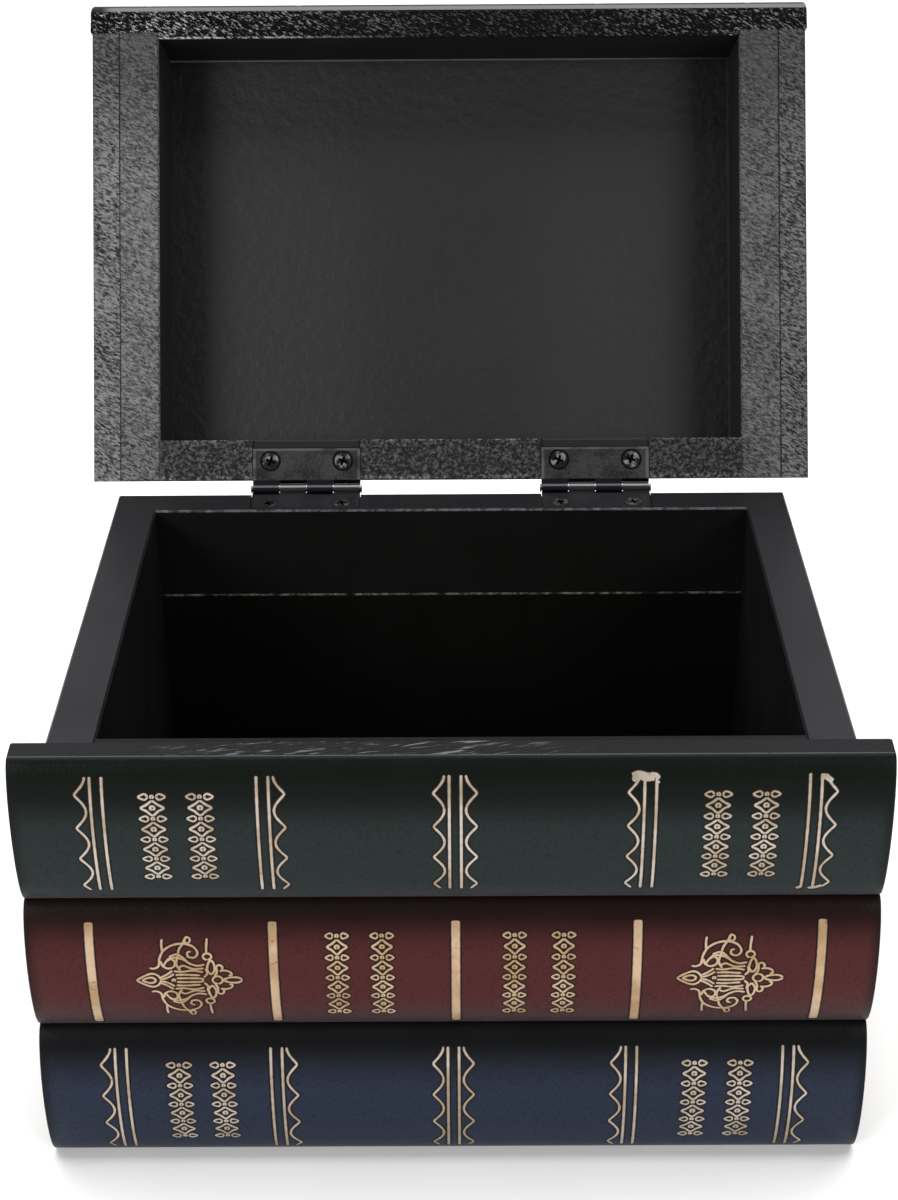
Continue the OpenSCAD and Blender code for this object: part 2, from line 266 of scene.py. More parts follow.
# Page edges: thin uneven leaves, browned in patches. The milled lines are in the wood itself.
page_leaves, given, result = new_group(
    "page_leaves", [("Place", "Vector")], [("Colour", "Color"), ("Height", "Float")])
stretched = shader(page_leaves, "VectorMath", {"operation": "MULTIPLY"},
                   _0=given["Place"], _1=(18.0, 18.0, 1500.0)).outputs[0]
leaf = noise(page_leaves, stretched, 1.0, 3.0, 0.6)
stain = noise(page_leaves, given["Place"], 30.0, 5.0, 0.65)
paper = blended(page_leaves, between(page_leaves, leaf, 0.35, 0.62),
                (0.16, 0.105, 0.048, 1), (0.46, 0.35, 0.19, 1))
paper = blended(page_leaves, between(page_leaves, stain, 0.45, 0.75),
                paper, (0.14, 0.085, 0.035, 1))
page_leaves.links.new(paper, result["Colour"])
page_leaves.links.new(leaf, result["Height"])


def wall_paint(name, specular):
    """The rim is satin, and painted darker toward the back as painted shade. The insides of the
    same boards are duller, and painted darker as painted shade inside the box. The page edges
    start at the foot of the rim's bevel."""
    material, tree, surface, place = new_finish(name, Specular_IOR_Level=specular)
    x, y, z = axes(tree, place)
    off = calc(tree, "ABSOLUTE", x)
    below = past(tree, z, RIM - RIM_BEVEL, -0.2 * MM)
    outer = times(tree, largest(tree, past(tree, off, WALL_X - PAGE_SKIN),
                                past(tree, y, WALL_REAR - PAGE_SKIN)), below)
    inner = times(tree, outside(tree, outer), below)
    film = placed(tree, paint_film, Place=place, Size=1.0)
    leaves = placed(tree, page_leaves, Place=place)
    worn = between(tree, film["Patches"], 0.35, 0.7)
    paint = blended(tree, worn, (0.0050, 0.0052, 0.0078, 1), (0.0075, 0.0077, 0.0105, 1))
    # Painted shade: the rim is painted darker toward the back.
    shade_toward_back = between(tree, y, 0.0, 70 * MM)
    paint = blended(tree, shade_toward_back, paint, (0.0022, 0.0023, 0.0036, 1))
    # A broken bright line is painted along the bevel at the back, over the inside, as a painted
    # highlight.
    bevel = times(tree, past(tree, y, BACK_INSIDE + 0.8 * MM, -0.3 * MM),
                  past(tree, off, WALL_INSIDE + 0.1 * MM, -0.2 * MM),
                  between(tree, noise(tree, place, 420.0, 5.0, 0.7), 0.34, 0.66))
    paint = blended(tree, bevel, paint, (0.075, 0.076, 0.082, 1))
    # Painted shade: the inner faces below the rim are painted darker.
    paint = blended(tree, inner, paint, (0.0018, 0.0018, 0.0014, 1))
    # A broken bright line is painted along the ledge of the lower board: partly a bead of dried
    # bare glue, partly a painted highlight on the ledge's edge.
    glue_bead_and_highlight = times(tree, past(tree, z, LEDGE - 0.6 * MM, 0.3 * MM),
                 past(tree, z, LEDGE + 0.2 * MM, -0.1 * MM),
                 past(tree, y, BACK_INSIDE - 0.2 * MM, -0.4 * MM),
                 past(tree, off, WALL_INSIDE - 0.1 * MM, -0.2 * MM),
                 between(tree, noise(tree, place, 260.0, 5.0, 0.7), 0.36, 0.70))
    paint = blended(tree, glue_bead_and_highlight, paint, (0.16, 0.155, 0.135, 1))
    sheen = between(tree, film["Patches"], 0.3, 0.7, 0.33, 0.43)
    height = plus(tree, times(tree, film["Height"], 0.3), times(tree, outer, leaves["Height"]))
    finished(tree, surface, height, 0.12 * MM,
             Base_Color=blended(tree, outer, paint, leaves["Colour"]),
             Roughness=plus(tree, sheen, times(tree, below, 0.2)))
    return material


dress(wall_paint("wall_paint", 0.22), "left_wall", "right_wall", "back_upper_board")
dress(wall_paint("lower_wall_paint", 0.12), "back_lower_board")

# The inside is sprayed thinner, nearly dull, over the bare grain of the panels, and painted
# darker than the rim as painted shade inside the box.
inside_paint, tree, surface, place = new_finish("inside_paint", Roughness=0.5,
                                                Specular_IOR_Level=0.12)
film = placed(tree, paint_film, Place=place, Size=1.6)
finished(tree, surface, film["Height"], 0.15 * MM,
         Base_Color=blended(tree, between(tree, film["Patches"], 0.35, 0.7),
                            (0.0020, 0.0020, 0.0015, 1), (0.0034, 0.0034, 0.0028, 1)))
dress(inside_paint, "floor_panel", "front_panel")


# Rounded book spines
# Each spine is a moulded strip of board, flat at the back and half elliptical in front, wrapped
# in leatherette and glued to the front of the box, with its ends 0.5 mm past the covers. Its
# mesh is worked out in millimetres.
SPINE_X, SPINE_BACK = (round(value / MM, 3) for value in corners("navy_spine")[1][:2])
SPINE_LIP = 6.8
END_ROUND = 0.7
END_DARKENING = 3.0
FACE_POINTS, END_STEPS, STRAIGHT_STEPS = 181, 7, 40


def spine_sizes(book):
    """The lowest point, the height and the greatest thickness of a spine's solid."""
    low, high = corners(book + "_spine")
    return [round(value / MM, 3) for value in (low[2], high[2] - low[2], high[1] - low[1])]


SPINES = {book: spine_sizes(book) for book in ("navy", "burgundy", "green")}


def spine_face(low, height, full):
    """Points down the front of a spine, from its upper to its lower edge: half an ellipse as
    high as the spine, in front of a flat lip."""
    a = np.linspace(0.0, math.pi, FACE_POINTS)
    z = low + height - height * (1.0 - np.cos(a)) / 2.0
    y = SPINE_BACK - SPINE_LIP - (full - SPINE_LIP) * np.sin(a)
    return np.stack([y, z], axis=1)


def outward(points):
    """Unit normals of a closed outline that is followed anticlockwise as seen from +X."""
    along = np.roll(points, -1, axis=0) - np.roll(points, 1, axis=0)
    along /= np.linalg.norm(along, axis=1)[:, None]
    return np.stack([along[:, 1], -along[:, 0]], axis=1)


def grid_faces(rows, columns, start=0):
    """Quads between neighbouring rows of a grid whose columns close up on themselves."""
    i, j = np.meshgrid(np.arange(rows - 1), np.arange(columns), indexing="ij")
    k = (j + 1) % columns
    quads = np.stack([i * columns + j, i * columns + k,
                      (i + 1) * columns + k, (i + 1) * columns + j], axis=-1)
    return (quads.reshape(-1, 4) + start).tolist()


def make_piece(name, points, faces, material, body, sharp=35.0, **marks):
    """A mesh object from points in millimetres, riding on a body. Marks are values for each
    point that the material reads by their name."""
    mesh = bpy.data.meshes.new(name)
    mesh.from_pydata((np.asarray(points) * MM).tolist(), [], faces)
    for label, values in marks.items():
        mark = mesh.attributes.new(label, "FLOAT", "POINT")
        mark.data.foreach_set("value", np.asarray(values, dtype=np.float32))
    mesh.shade_smooth()
    mesh.set_sharp_from_angle(angle=math.radians(sharp))
    mesh.materials.append(material)
    piece = added(name, mesh)
    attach(piece, body)
    return piece


def make_spine(name, spine, material, body, place=lambda p: p):
    """The spine's outline carried along X. Both ends are rounded by a quarter of a circle."""
    low, height = spine[:2]
    back = np.array([[SPINE_BACK, low], [SPINE_BACK, low + height]])
    outline = np.concatenate([back, spine_face(*spine)])
    across = np.concatenate([[1.0, 0.0], np.linspace(0.0, 1.0, FACE_POINTS)])
    normal = outward(outline)
    turn = np.linspace(0.0, math.pi / 2.0, END_STEPS)
    inset = END_ROUND * (1.0 - np.sin(turn))
    x = -SPINE_X + END_ROUND * (1.0 - np.cos(turn))
    straight = np.linspace(x[-1], -x[-1], STRAIGHT_STEPS)[1:-1]
    x = np.concatenate([x, straight, -x[::-1]])
    inset = np.concatenate([inset, np.zeros(len(straight)), inset[::-1]])
    ring = outline[None] - normal[None] * inset[:, None, None]
    points = np.concatenate([np.broadcast_to(x[:, None, None], ring.shape[:2] + (1,)), ring], 2)
    columns = len(outline)
    faces = grid_faces(len(x), columns)
    faces.append(list(range(columns))[::-1])
    faces.append(list(range((len(x) - 1) * columns, len(x) * columns)))
    points = place(points.reshape(-1, 3))
    ends = np.repeat(np.clip(1.0 - (SPINE_X - np.abs(x)) / END_DARKENING, 0, 1), columns)
    return make_piece(name, points, faces, material, body,
                      across=np.tile(across, len(x)), ends=ends)


# Pressed hide grain: pebbles from a smooth cell pattern, broken up by fine creases.
hide_grain, given, result = new_group(
    "hide_grain", [("Place", "Vector"), ("Size", "Float")],
    [("Height", "Float"), ("Mottle", "Float")])
scaled = scaled_by(hide_grain, given["Place"], given["Size"])
warp = shader(hide_grain, "TexNoise", Vector=scaled, Scale=1.7, Detail=2.0)
bent = shader(hide_grain, "VectorMath", {"operation": "ADD"}, _0=scaled,
              _1=scaled_by(hide_grain, warp.outputs["Color"], 0.6)).outputs[0]
pebble = shader(hide_grain, "TexVoronoi", {"feature": "SMOOTH_F1"},
                Vector=bent, Scale=1.0, Smoothness=0.4).outputs["Distance"]
hide_grain.links.new(plus(hide_grain, times(hide_grain, pebble, -0.8),
                          times(hide_grain, noise(hide_grain, bent, 2.6), 0.5)),
                     result["Height"])
hide_grain.links.new(noise(hide_grain, scaled, 0.05, 4.0, 0.6), result["Mottle"])

# Small folds along the middle and left of a flat top, and painted highlights on them.
leather_folds, given, result = new_group(
    "leather_folds", [("Place", "Vector")], [("Folds", "Float"), ("Glints", "Float")])
along = shader(leather_folds, "Mapping", {"vector_type": "TEXTURE"},
               Vector=given["Place"], Rotation=(0.0, 0.0, math.radians(12)),
               Scale=(8 * MM, 0.8 * MM, 0.8 * MM)).outputs[0]
fold = noise(leather_folds, along, 1.0, 2.5, distortion=0.6)
fold_x = axes(leather_folds, given["Place"])[0]
spread = times(leather_folds, between(leather_folds, fold_x, -90 * MM, -70 * MM),
               between(leather_folds, fold_x, 45 * MM, 0.0))
leather_folds.links.new(times(leather_folds, fold, spread), result["Folds"])
leather_folds.links.new(times(leather_folds, spread, between(leather_folds, fold, 0.57, 0.70)),
                        result["Glints"])

# Pigment; a dark tone, which over a spine's upper part is painted shade and on covers is mottled
# soot; and grey along a spine's lower edge as a painted reflection of the floor. The last table
# has the shares of a spine's width where the painted shade starts to fade, where it ends and
# where the painted reflection starts.
SOOT_AND_SHADE = {"green": (0.0027, 0.0045, 0.0031, 1), "burgundy": (0.0080, 0.0031, 0.0027, 1),
        "navy": (0.0033, 0.0036, 0.0041, 1), "black": (0.0033, 0.0036, 0.0030, 1)}
FLOOR_REFLECTION_GREY = {"green": (0.048, 0.045, 0.052, 1), "burgundy": (0.034, 0.034, 0.038, 1),
        "navy": (0.051, 0.048, 0.062, 1)}
PIGMENTS = {"green": (0.0129, 0.0204, 0.0194, 1), "burgundy": (0.0616, 0.0128, 0.0128, 1),
            "navy": (0.0158, 0.0228, 0.0430, 1), "black": (0.014, 0.014, 0.015, 1)}
SHADE_AND_REFLECTION_BANDS = {"green": (0.30, 0.48, 0.72), "burgundy": (0.16, 0.42, 0.58),
          "navy": (0.20, 0.46, 0.72)}


def leather(name, book, spine=True):
    """Leatherette with an antique finish. On a spine the pigment shows in the middle, with
    painted shade above it, a dark tone toward the ends, and a grey painted reflection of the
    floor below.
    Covers have pigment and soot mottled all over. The green spine is turned in over its flat top,
    and lies there in small folds with painted glints on them."""
    material, tree, surface, place = new_finish(name, Specular_IOR_Level=0.09)
    grain = placed(tree, hide_grain, Place=place, Size=1100.0)
    height = grain["Height"]
    if spine:
        across, ends = marked(tree, "across"), marked(tree, "ends")
        wander = times(tree, plus(tree, grain["Mottle"], -0.5), 0.06)
        share = plus(tree, across, wander)
        # Painted shade: the pigment fades into the dark tone toward the upper edge, and also
        # toward the ends.
        colour_share = times(tree, between(tree, share, *SHADE_AND_REFLECTION_BANDS[book][:2]),
                             between(tree, ends, 1.0, 0.3))
    else:
        colour_share = between(tree, grain["Mottle"], 0.3, 0.7, 0.35, 0.75)
    tint = blended(tree, colour_share, SOOT_AND_SHADE[book], PIGMENTS[book])
    if spine:
        # Painted reflection of the floor: grey toward the lower edge.
        tint = blended(tree, between(tree, share, SHADE_AND_REFLECTION_BANDS[book][2], 0.95), tint, FLOOR_REFLECTION_GREY[book])
        # A grey line is painted along the upper edge as a painted highlight, and the flat top
        # behind it is dark and dull.
        edge = times(tree, between(tree, across, 0.003, 0.008),
                     between(tree, across, 0.030, 0.020))
        tint = blended(tree, edge, tint, (0.056, 0.057, 0.062, 1))
        flat = between(tree, across, 0.003, 0.001)
        tint = blended(tree, flat, tint, (0.009, 0.009, 0.011, 1))
    tint = blended(tree, between(tree, grain["Height"], -0.1, -0.45, 0.0, 0.35), tint, SOOT_AND_SHADE[book])
    if spine and book == "green":
        folds, fold_glints = placed(tree, leather_folds, Place=place)
        # Painted highlights on the crests of the folds.
        tint = blended(tree, times(tree, flat, fold_glints), tint, (0.13, 0.13, 0.14, 1))
        height = plus(tree, height, times(tree, flat, folds, 6.0))
    finished(tree, surface, height, 0.06 * MM, Base_Color=tint,
             Roughness=between(tree, grain["Mottle"], 0.3, 0.7, 0.38, 0.44))
    return material


for book, spine in SPINES.items():
    finish = leather(book + "_spine_leather", book)
    piece = make_spine("moulded_%s_spine" % book, spine, finish, "box")
    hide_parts("%s_spine" % book)


# Covers of the books
# The cover edges are board strips wrapped in the same leatherette as their spines, glued round
# the walls. Whole boards close the box below and the lid above.
SIDES = ("left", "right", "back")
COVERS = {
    "green": ["green_cover_" + side for side in SIDES],
    "burgundy": ["burgundy_%s_cover_%s" % (level, side) for level in ("upper", "lower")
                 for side in SIDES],
    "navy": ["navy_upper_cover_" + side for side in SIDES] + ["bottom_board"],
    "black": ["lid_top_board"],
}
for book, names in COVERS.items():
    dress(leather(book + "_cover_leather", book, spine=False), *names)


# Gold tooling on the spines
# Rules, waves and ornament are pressed into the leatherette through gold foil. The foil stands
# a few hundredths of a millimetre proud, between dark edges where the hot tool pressed. Its
# sizes are in millimetres.
RULE_WIDTH = 0.72
WAVE_WIDTH = 0.86 * RULE_WIDTH
WIDE_RULE = 2.5
WAVE_OFFSET, WAVE_SWING, WAVE_TIP = 3.15, 1.7, 0.012
# Across a stroke: places in half widths up to 1 and then in millimetres past the foil's edge,
# the height above the face, and the share of foil.
SECTION_ACROSS = np.array([-1.65, -1.55, -1.0, -0.55, 0.0, 0.55, 1.0, 1.55, 1.65])
SECTION_LIFT = np.array([-0.12, 0.012, 0.03, 0.055, 0.065, 0.055, 0.03, 0.012, -0.12])
SECTION_FOIL = np.array([0.0, 0.0, 0.5, 1.0, 1.0, 1.0, 0.5, 0.0, 0.0])
# The corners of a lozenge, in half widths and half heights.
LOZENGE = ((0, -1), (0.45, -0.42), (0.86, 0), (0.45, 0.42), (0, 1), (-0.45, 0.42), (-0.86, 0),
           (-0.45, -0.42), (0, -1))


def curve_through(points, step=0.35):
    """A smooth path through the points. Between two neighbours it is the cubic whose ends run
    parallel to the lines between the points on either side."""
    p = np.asarray(points, dtype=float)
    p = np.concatenate([[2 * p[0] - p[1]], p, [2 * p[-1] - p[-2]]])
    pieces = []
    for a, b, c, d in zip(p[:-3], p[1:-2], p[2:-1], p[3:]):
        count = max(3, int(np.linalg.norm(c - b) / step) + 1)
        t = np.linspace(0.0, 1.0, count, endpoint=False)[:, None]
        pieces.append(0.5 * (2 * b + (c - a) * t + (2 * a - 5 * b + 4 * c - d) * t ** 2
                             + (3 * b - a - 3 * c + d) * t ** 3))
    return np.concatenate(pieces + [p[-2:-1]])


def ringed(x, s, across, along, count=28):
    """A closed oval of half widths across and along, round a point on the unrolled face."""
    a = np.linspace(0.0, 2.0 * math.pi, count)
    return np.stack([x + across * np.sin(a), s + along * np.cos(a)], axis=1)


class Face:
    """The front of a spine, unrolled: x along the spine and s down its face from the upper
    edge."""

    def __init__(self, spine, place=lambda p: p):
        self.points = spine_face(*spine)
        steps = np.linalg.norm(np.diff(self.points, axis=0), axis=1)
        self.down = np.concatenate([[0.0], np.cumsum(steps)])
        slope = np.gradient(self.points, axis=0)
        slope /= np.linalg.norm(slope, axis=1)[:, None]
        self.normal = np.stack([slope[:, 1], -slope[:, 0]], axis=1)
        self.place = place

    def at_height(self, z):
        """How far down the face a height above the table is."""
        return np.interp(-z, -self.points[:, 1], self.down)

    def lay(self, x, s, lift):
        """Points above the face by lift, at x along it and s down it."""
        y, z, normal_y, normal_z = [np.interp(s, self.down, column)
                                    for column in (*self.points.T, *self.normal.T)]
        return self.place(np.stack([x, y + lift * normal_y, z + lift * normal_z], axis=-1))

    def stroke(self, path, width):
        """One tooled stroke: a low rounded section carried along a path on the face, and its
        shares of foil. Two small sines of the length run make its width waver, and both its
        ends are rounded."""
        path = np.asarray(path, dtype=float)
        along = np.gradient(path, axis=0)
        along /= np.linalg.norm(along, axis=1)[:, None] + 1e-9
        sideways = np.stack([-along[:, 1], along[:, 0]], axis=1)
        run = np.concatenate([[0.0], np.cumsum(np.linalg.norm(np.diff(path, axis=0), axis=1))])
        near_end = np.minimum(run, run[-1] - run) / min(0.5 * width, 0.4)
        close = np.sqrt(np.clip(1.0 - (1.0 - np.clip(near_end, 0.0, 1.0)) ** 2, 0.0025, 1.0))
        waver = 0.05 * np.sin(run * 1.7 + path[0, 0]) + 0.036 * np.sin(run * 4.1 + path[0, 1])
        half = (0.5 * width + 0.5 * waver) * close
        # The dark edge keeps its own width of about 0.6 mm beside foil of any width.
        on_foil = np.clip(np.abs(SECTION_ACROSS), 0.0, 1.0)
        past_foil = np.abs(SECTION_ACROSS) - on_foil
        reach = np.sign(SECTION_ACROSS) * (on_foil * half[:, None] + past_foil)
        flat = path[:, None, :] + sideways[:, None, :] * reach[..., None]
        lift = SECTION_LIFT * np.where(close > 0.3, 1.0, 0.3)[:, None]
        points = self.lay(flat[..., 0], flat[..., 1], lift)
        return points, np.broadcast_to(SECTION_FOIL, reach.shape)


def tool(name, face, strokes, material, body):
    """Presses all the strokes of a spine as one piece. Each is a closed shell: a grid along
    the stroke and round its section, with both ends filled."""
    points, faces, foil_shares, start = [], [], [], 0
    columns = len(SECTION_ACROSS)
    for path, width in strokes:
        grid, shares = face.stroke(path, width)
        rows = len(grid)
        points.append(grid.reshape(-1, 3))
        foil_shares.append(shares.reshape(-1))
        faces += grid_faces(rows, columns, start)
        faces.append([start + j for j in range(columns)][::-1])
        faces.append([start + (rows - 1) * columns + j for j in range(columns)])
        start += rows * columns
    piece = make_piece(name, np.concatenate(points), faces, material, body, 40.0,
                       foil=np.concatenate(foil_shares))


def line_down(x, top_s, low_s):
    """A straight rule down the face, with its points closer together near both ends."""
    near = np.array([0.0, 0.04, 0.12, 0.3])
    length = low_s - top_s
    down = np.concatenate([near, np.linspace(0.8, length - 0.8, 40), length - near[::-1]])
    return np.stack([np.full(len(down), x), top_s + down], axis=1)


def wave_down(x, side, top_s, low_s, waves=3.72):
    """A wave beside a rule. Its inner bends are round, and its outer bends are nearly pointed,
    the more so the smaller WAVE_TIP is."""
    t = np.linspace(0.0, 1.0, 110)
    phase = math.pi * (t * waves - 0.5)
    bend = np.sqrt(np.sin(phase) ** 2 + WAVE_TIP)
    away = WAVE_OFFSET + WAVE_SWING * (1.0 - 2.0 * bend)
    return np.stack([x + side * away, top_s + (low_s - top_s) * t], axis=1)


def rule_group(x_first, x_second, sides, top_s, low_s):
    """Two rules side by side, with a wave on each side that is named."""
    strokes = [(line_down(x, top_s, low_s), RULE_WIDTH) for x in (x_first, x_second)]
    for side in sides:
        x = x_first if side < 0 else x_second
        strokes.append((wave_down(x, side, top_s, low_s), WAVE_WIDTH))
    return strokes


def fleuron_column(x_left, x_right, top_s, low_s, count=4):
    """Generic ornament down a column: hollow lozenges with a dot in each, and beads and small
    leaves between them."""
    middle, half = (x_left + x_right) / 2.0, (x_right - x_left) / 2.0
    pitch = (low_s - top_s) / count
    reach = pitch * 0.34
    strokes = []
    for i in range(count):
        s = top_s + (i + 0.5) * pitch
        corner_points = [(middle + half * a, s + reach * b) for a, b in LOZENGE]
        strokes.append((curve_through(corner_points), 0.62))
        strokes.append((ringed(middle, s, half * 0.16, half * 0.16, 14), 0.6))
    for i in range(count + 1):
        s = top_s + i * pitch
        strokes.append((ringed(middle, s, 0.42, 0.42, 12), 0.55))
        for side in (-1, 1):
            stalk, belly, tip = (middle + side * away for away in (1.1, half * 0.55, half))
            leaf_points = [(stalk, s), (belly, s - 0.9), (tip, s), (belly, s + 0.9), (stalk, s)]
            strokes.append((curve_through(leaf_points), 0.5))
    return strokes


def rules_and_columns(face, rules, columns, rule_heights, column_heights):
    """The strokes of a spine's groups of rules, and of its columns of ornament. Rules are the
    arguments of rule_group, columns are left and right edges, and the heights of the upper and
    lower ends are above the table."""
    rule_s = [face.at_height(z) for z in rule_heights]
    column_s = [face.at_height(z) for z in column_heights]
    strokes = []
    for first, second, sides in rules:
        strokes += rule_group(first, second, sides, *rule_s)
    for left, right in columns:
        strokes += fleuron_column(left, right, *column_s)
    return strokes


def wide_rules(face, places, heights):
    """Wide plain rules down a face, between two heights above the table."""
    ends = [face.at_height(z) for z in heights]
    return [(line_down(x, *ends), WIDE_RULE) for x in places]


def arabesque(x, s):
    """A scroll ornament round a point, pointed to the left and right, with C-shaped scrolls
    between: the strokes of its upper half, as points to the right and up, and their mirror
    image below."""
    upper = [
        [(-15.6, 0.0), (-13.4, 1.5), (-11.0, 2.5), (-9.2, 1.9), (-8.0, 0.0)],
        [(-14.0, 0.0), (-12.4, 0.8), (-10.8, 1.0), (-9.6, 0.0)],
        [(-8.6, 0.9), (-6.6, 2.0), (-4.6, 3.6)],
        [(-8.0, 0.3), (-6.0, 1.1), (-4.2, 2.4)],
        [(-3.6, 0.7), (0.0, 0.75), (3.8, 0.6), (4.6, 0.0)],
        [(-3.8, 2.0), (-1.0, 2.1), (3.6, 1.8)],
        [(-4.2, 3.4), (-1.6, 3.2), (1.4, 3.6), (4.6, 3.0)],
        [(-11.4, 4.6), (-10.0, 4.4), (-8.6, 5.4), (-8.2, 8.0), (-6.8, 10.8), (-4.0, 12.6),
         (-0.8, 13.0), (2.0, 12.0), (3.2, 9.9), (2.2, 8.3), (0.4, 8.6), (0.2, 10.0),
         (1.3, 10.4)],
        [(-7.6, 4.8), (-5.2, 8.0), (-1.8, 7.9), (1.2, 5.8)],
        [(-2.2, 3.6), (-3.3, 6.0), (-2.6, 9.4)],
        [(4.6, 1.0), (5.7, 2.4), (5.4, 4.4)],
        [(-8.0, 7.2), (-7.4, 5.4), (-5.8, 4.4), (-4.0, 5.2), (-3.8, 7.0), (-5.0, 7.8),
         (-5.9, 7.0)],
        [(-5.4, 8.6), (-3.0, 9.4), (-1.2, 8.2), (0.4, 6.4), (2.8, 5.4), (5.2, 5.8)],
        [(-3.2, 4.4), (-1.4, 5.4), (0.2, 4.8), (1.8, 4.2), (4.8, 4.4)],
        [(-2.6, 9.6), (-2.2, 11.2), (-1.2, 12.8), (0.2, 15.6)],
        [(-7.2, 10.2), (-7.4, 12.4), (-7.2, 14.6)],
        [(5.8, 9.6), (5.9, 12.0), (6.2, 14.8)],
        [(6.9, 2.0), (5.8, 3.8), (6.2, 6.2), (7.0, 7.2), (7.8, 6.2), (8.0, 3.8), (6.9, 2.0)],
        [(7.8, 1.2), (8.6, 3.0), (8.6, 5.0), (9.6, 5.6), (10.4, 4.7), (10.1, 3.8)],
        [(9.4, 3.4), (11.0, 3.6), (12.6, 3.0), (13.0, 1.9), (12.0, 1.6)],
        [(10.2, 0.0), (12.2, 0.9), (14.6, 1.0), (15.8, 0.4), (15.9, 0.0)],
    ]
    strokes = []
    for side in (-1, 1):
        for path in upper:
            strokes.append((curve_through([(x + a, s - side * b) for a, b in path]), 0.62))
        strokes.append((ringed(x + 0.3, s - side * 14.2, 0.85, 0.95), 0.5))
        strokes.append((ringed(x + 6.0, s - side * 8.6, 1.25, 1.1), 0.6))
    strokes.append((ringed(x + 8.7, s, 1.5, 1.45), 0.6))
    strokes.append((ringed(x - 4.4, s, 0.45, 0.4, 12), 0.5))
    return strokes


def foil(name, worn, bright):
    """Gold foil between dark edges, in a worn and a bright shade."""
    material, tree, surface, place = new_finish(name, Specular_IOR_Level=0.1)
    rubbed = noise(tree, place, 420.0, 4.0, 0.6)
    shown = times(tree, between(tree, marked(tree, "foil"), 0.3, 0.7),
                  between(tree, rubbed, 0.27, 0.40, 0.55, 1.0))
    shade = blended(tree, between(tree, noise(tree, place, 90.0), 0.35, 0.65), worn, bright)
    finished(tree, surface, rubbed, 0.03 * MM,
             Base_Color=blended(tree, shown, (0.007, 0.0035, 0.003, 1), shade),
             Metallic=times(tree, shown, 0.55),
             Roughness=between(tree, rubbed, 0.3, 0.7, 0.38, 0.5))
    return material


gold_foil = foil("gold_foil", (0.37, 0.235, 0.13, 1), (0.52, 0.37, 0.25, 1))
# The foil on the green and navy spines is paler.
pale_foil = foil("pale_gold_foil", (0.35, 0.28, 0.20, 1), (0.50, 0.44, 0.38, 1))

green_face = Face(SPINES["green"])
GREEN_RULES = (143.9, 104.2)
strokes = rules_and_columns(
    green_face,
    rules=((-103.1, -99.7, (-1,)), (-55.5, -52.1, (1,)), (-0.5, 2.9, (-1, 1)),
           (55.3, 58.7, (-1,)), (102.4, 105.8, (1,))),
    columns=((-89.3, -81.7), (-75.6, -68.0), (72.6, 80.2), (86.4, 94.0)),
    rule_heights=GREEN_RULES, column_heights=(138.0, 110.0))
# Foil has run together at the ends of two groups.
top_s, low_s = (green_face.at_height(z) for z in GREEN_RULES)
for start_s, width, path in (
        (top_s, 2.5, [(51.8, 0.9), (53.6, 0.2), (55.8, 0.8), (58.2, 0.6)]),
        (top_s, 1.5, [(51.8, 1.9), (52.8, 1.1)]),
        (top_s, 1.4, [(57.0, 1.3), (58.2, 0.2), (59.4, 1.4)]),
        (top_s, 1.2, [(59.0, 1.8), (58.9, 2.8)]),
        (top_s, 1.3, [(102.1, 0.3), (102.7, 0.6)]),
        (top_s, 1.5, [(105.8, 0.5), (107.2, 1.2), (108.8, 2.4)]),
        (low_s, 1.1, [(100.9, 0.4), (101.9, 0.3), (102.5, -0.6)]),
        (low_s, 1.1, [(104.4, 0.5), (106.2, 0.4), (108.6, -0.7)])):
    strokes.append((curve_through([(x, start_s + s) for x, s in path]), width))
tool("green_spine_tooling", green_face, strokes, pale_foil, "box")

navy_face = Face(SPINES["navy"])
strokes = rules_and_columns(
    navy_face,
    rules=((-103.7, -100.2, (-1,)), (-55.9, -52.4, (1,)), (-1.5, 1.9, (-1, 1)),
           (53.0, 56.4, (-1,)), (101.1, 104.5, (1,))),
    columns=((-88.0, -80.4), (-74.6, -67.0), (70.4, 78.0), (84.4, 92.0)),
    rule_heights=(45.0, 4.0), column_heights=(39.5, 10.5))
tool("navy_spine_tooling", navy_face, strokes, pale_foil, "box")

burgundy_face = Face(SPINES["burgundy"])
BURGUNDY_RULES = (93.0, 54.3)
strokes = wide_rules(burgundy_face, (-107.7, -53.2, 1.1, 55.1, 109.7), BURGUNDY_RULES)
strokes += rules_and_columns(
    burgundy_face, rules=(),
    columns=((-37.6, -30.8), (-24.2, -17.4), (15.2, 22.0), (29.8, 36.6)),
    rule_heights=BURGUNDY_RULES, column_heights=(88.6, 59.6))
for middle in (-78.9, 82.7):
    strokes += arabesque(middle, burgundy_face.at_height(73.4))
tool("burgundy_spine_tooling", burgundy_face, strokes, gold_foil, "box")


# Frame of the lid
# The lid is a shallow tray of boards under a cover board, with cover strips along its sides.
# Its underside is finished with thick black paint that has dried in a coarse wrinkled grain.
# Places on it are those of the shut lid.
hinge = frame["joints"][0]
PIN_Y, PIN_Z = hinge["pos_m"][1:]
OPEN_ANGLE = math.radians(hinge["range_deg"][1])
LID_GAP = 0.6 * MM
LID_Z = RIM + LID_GAP
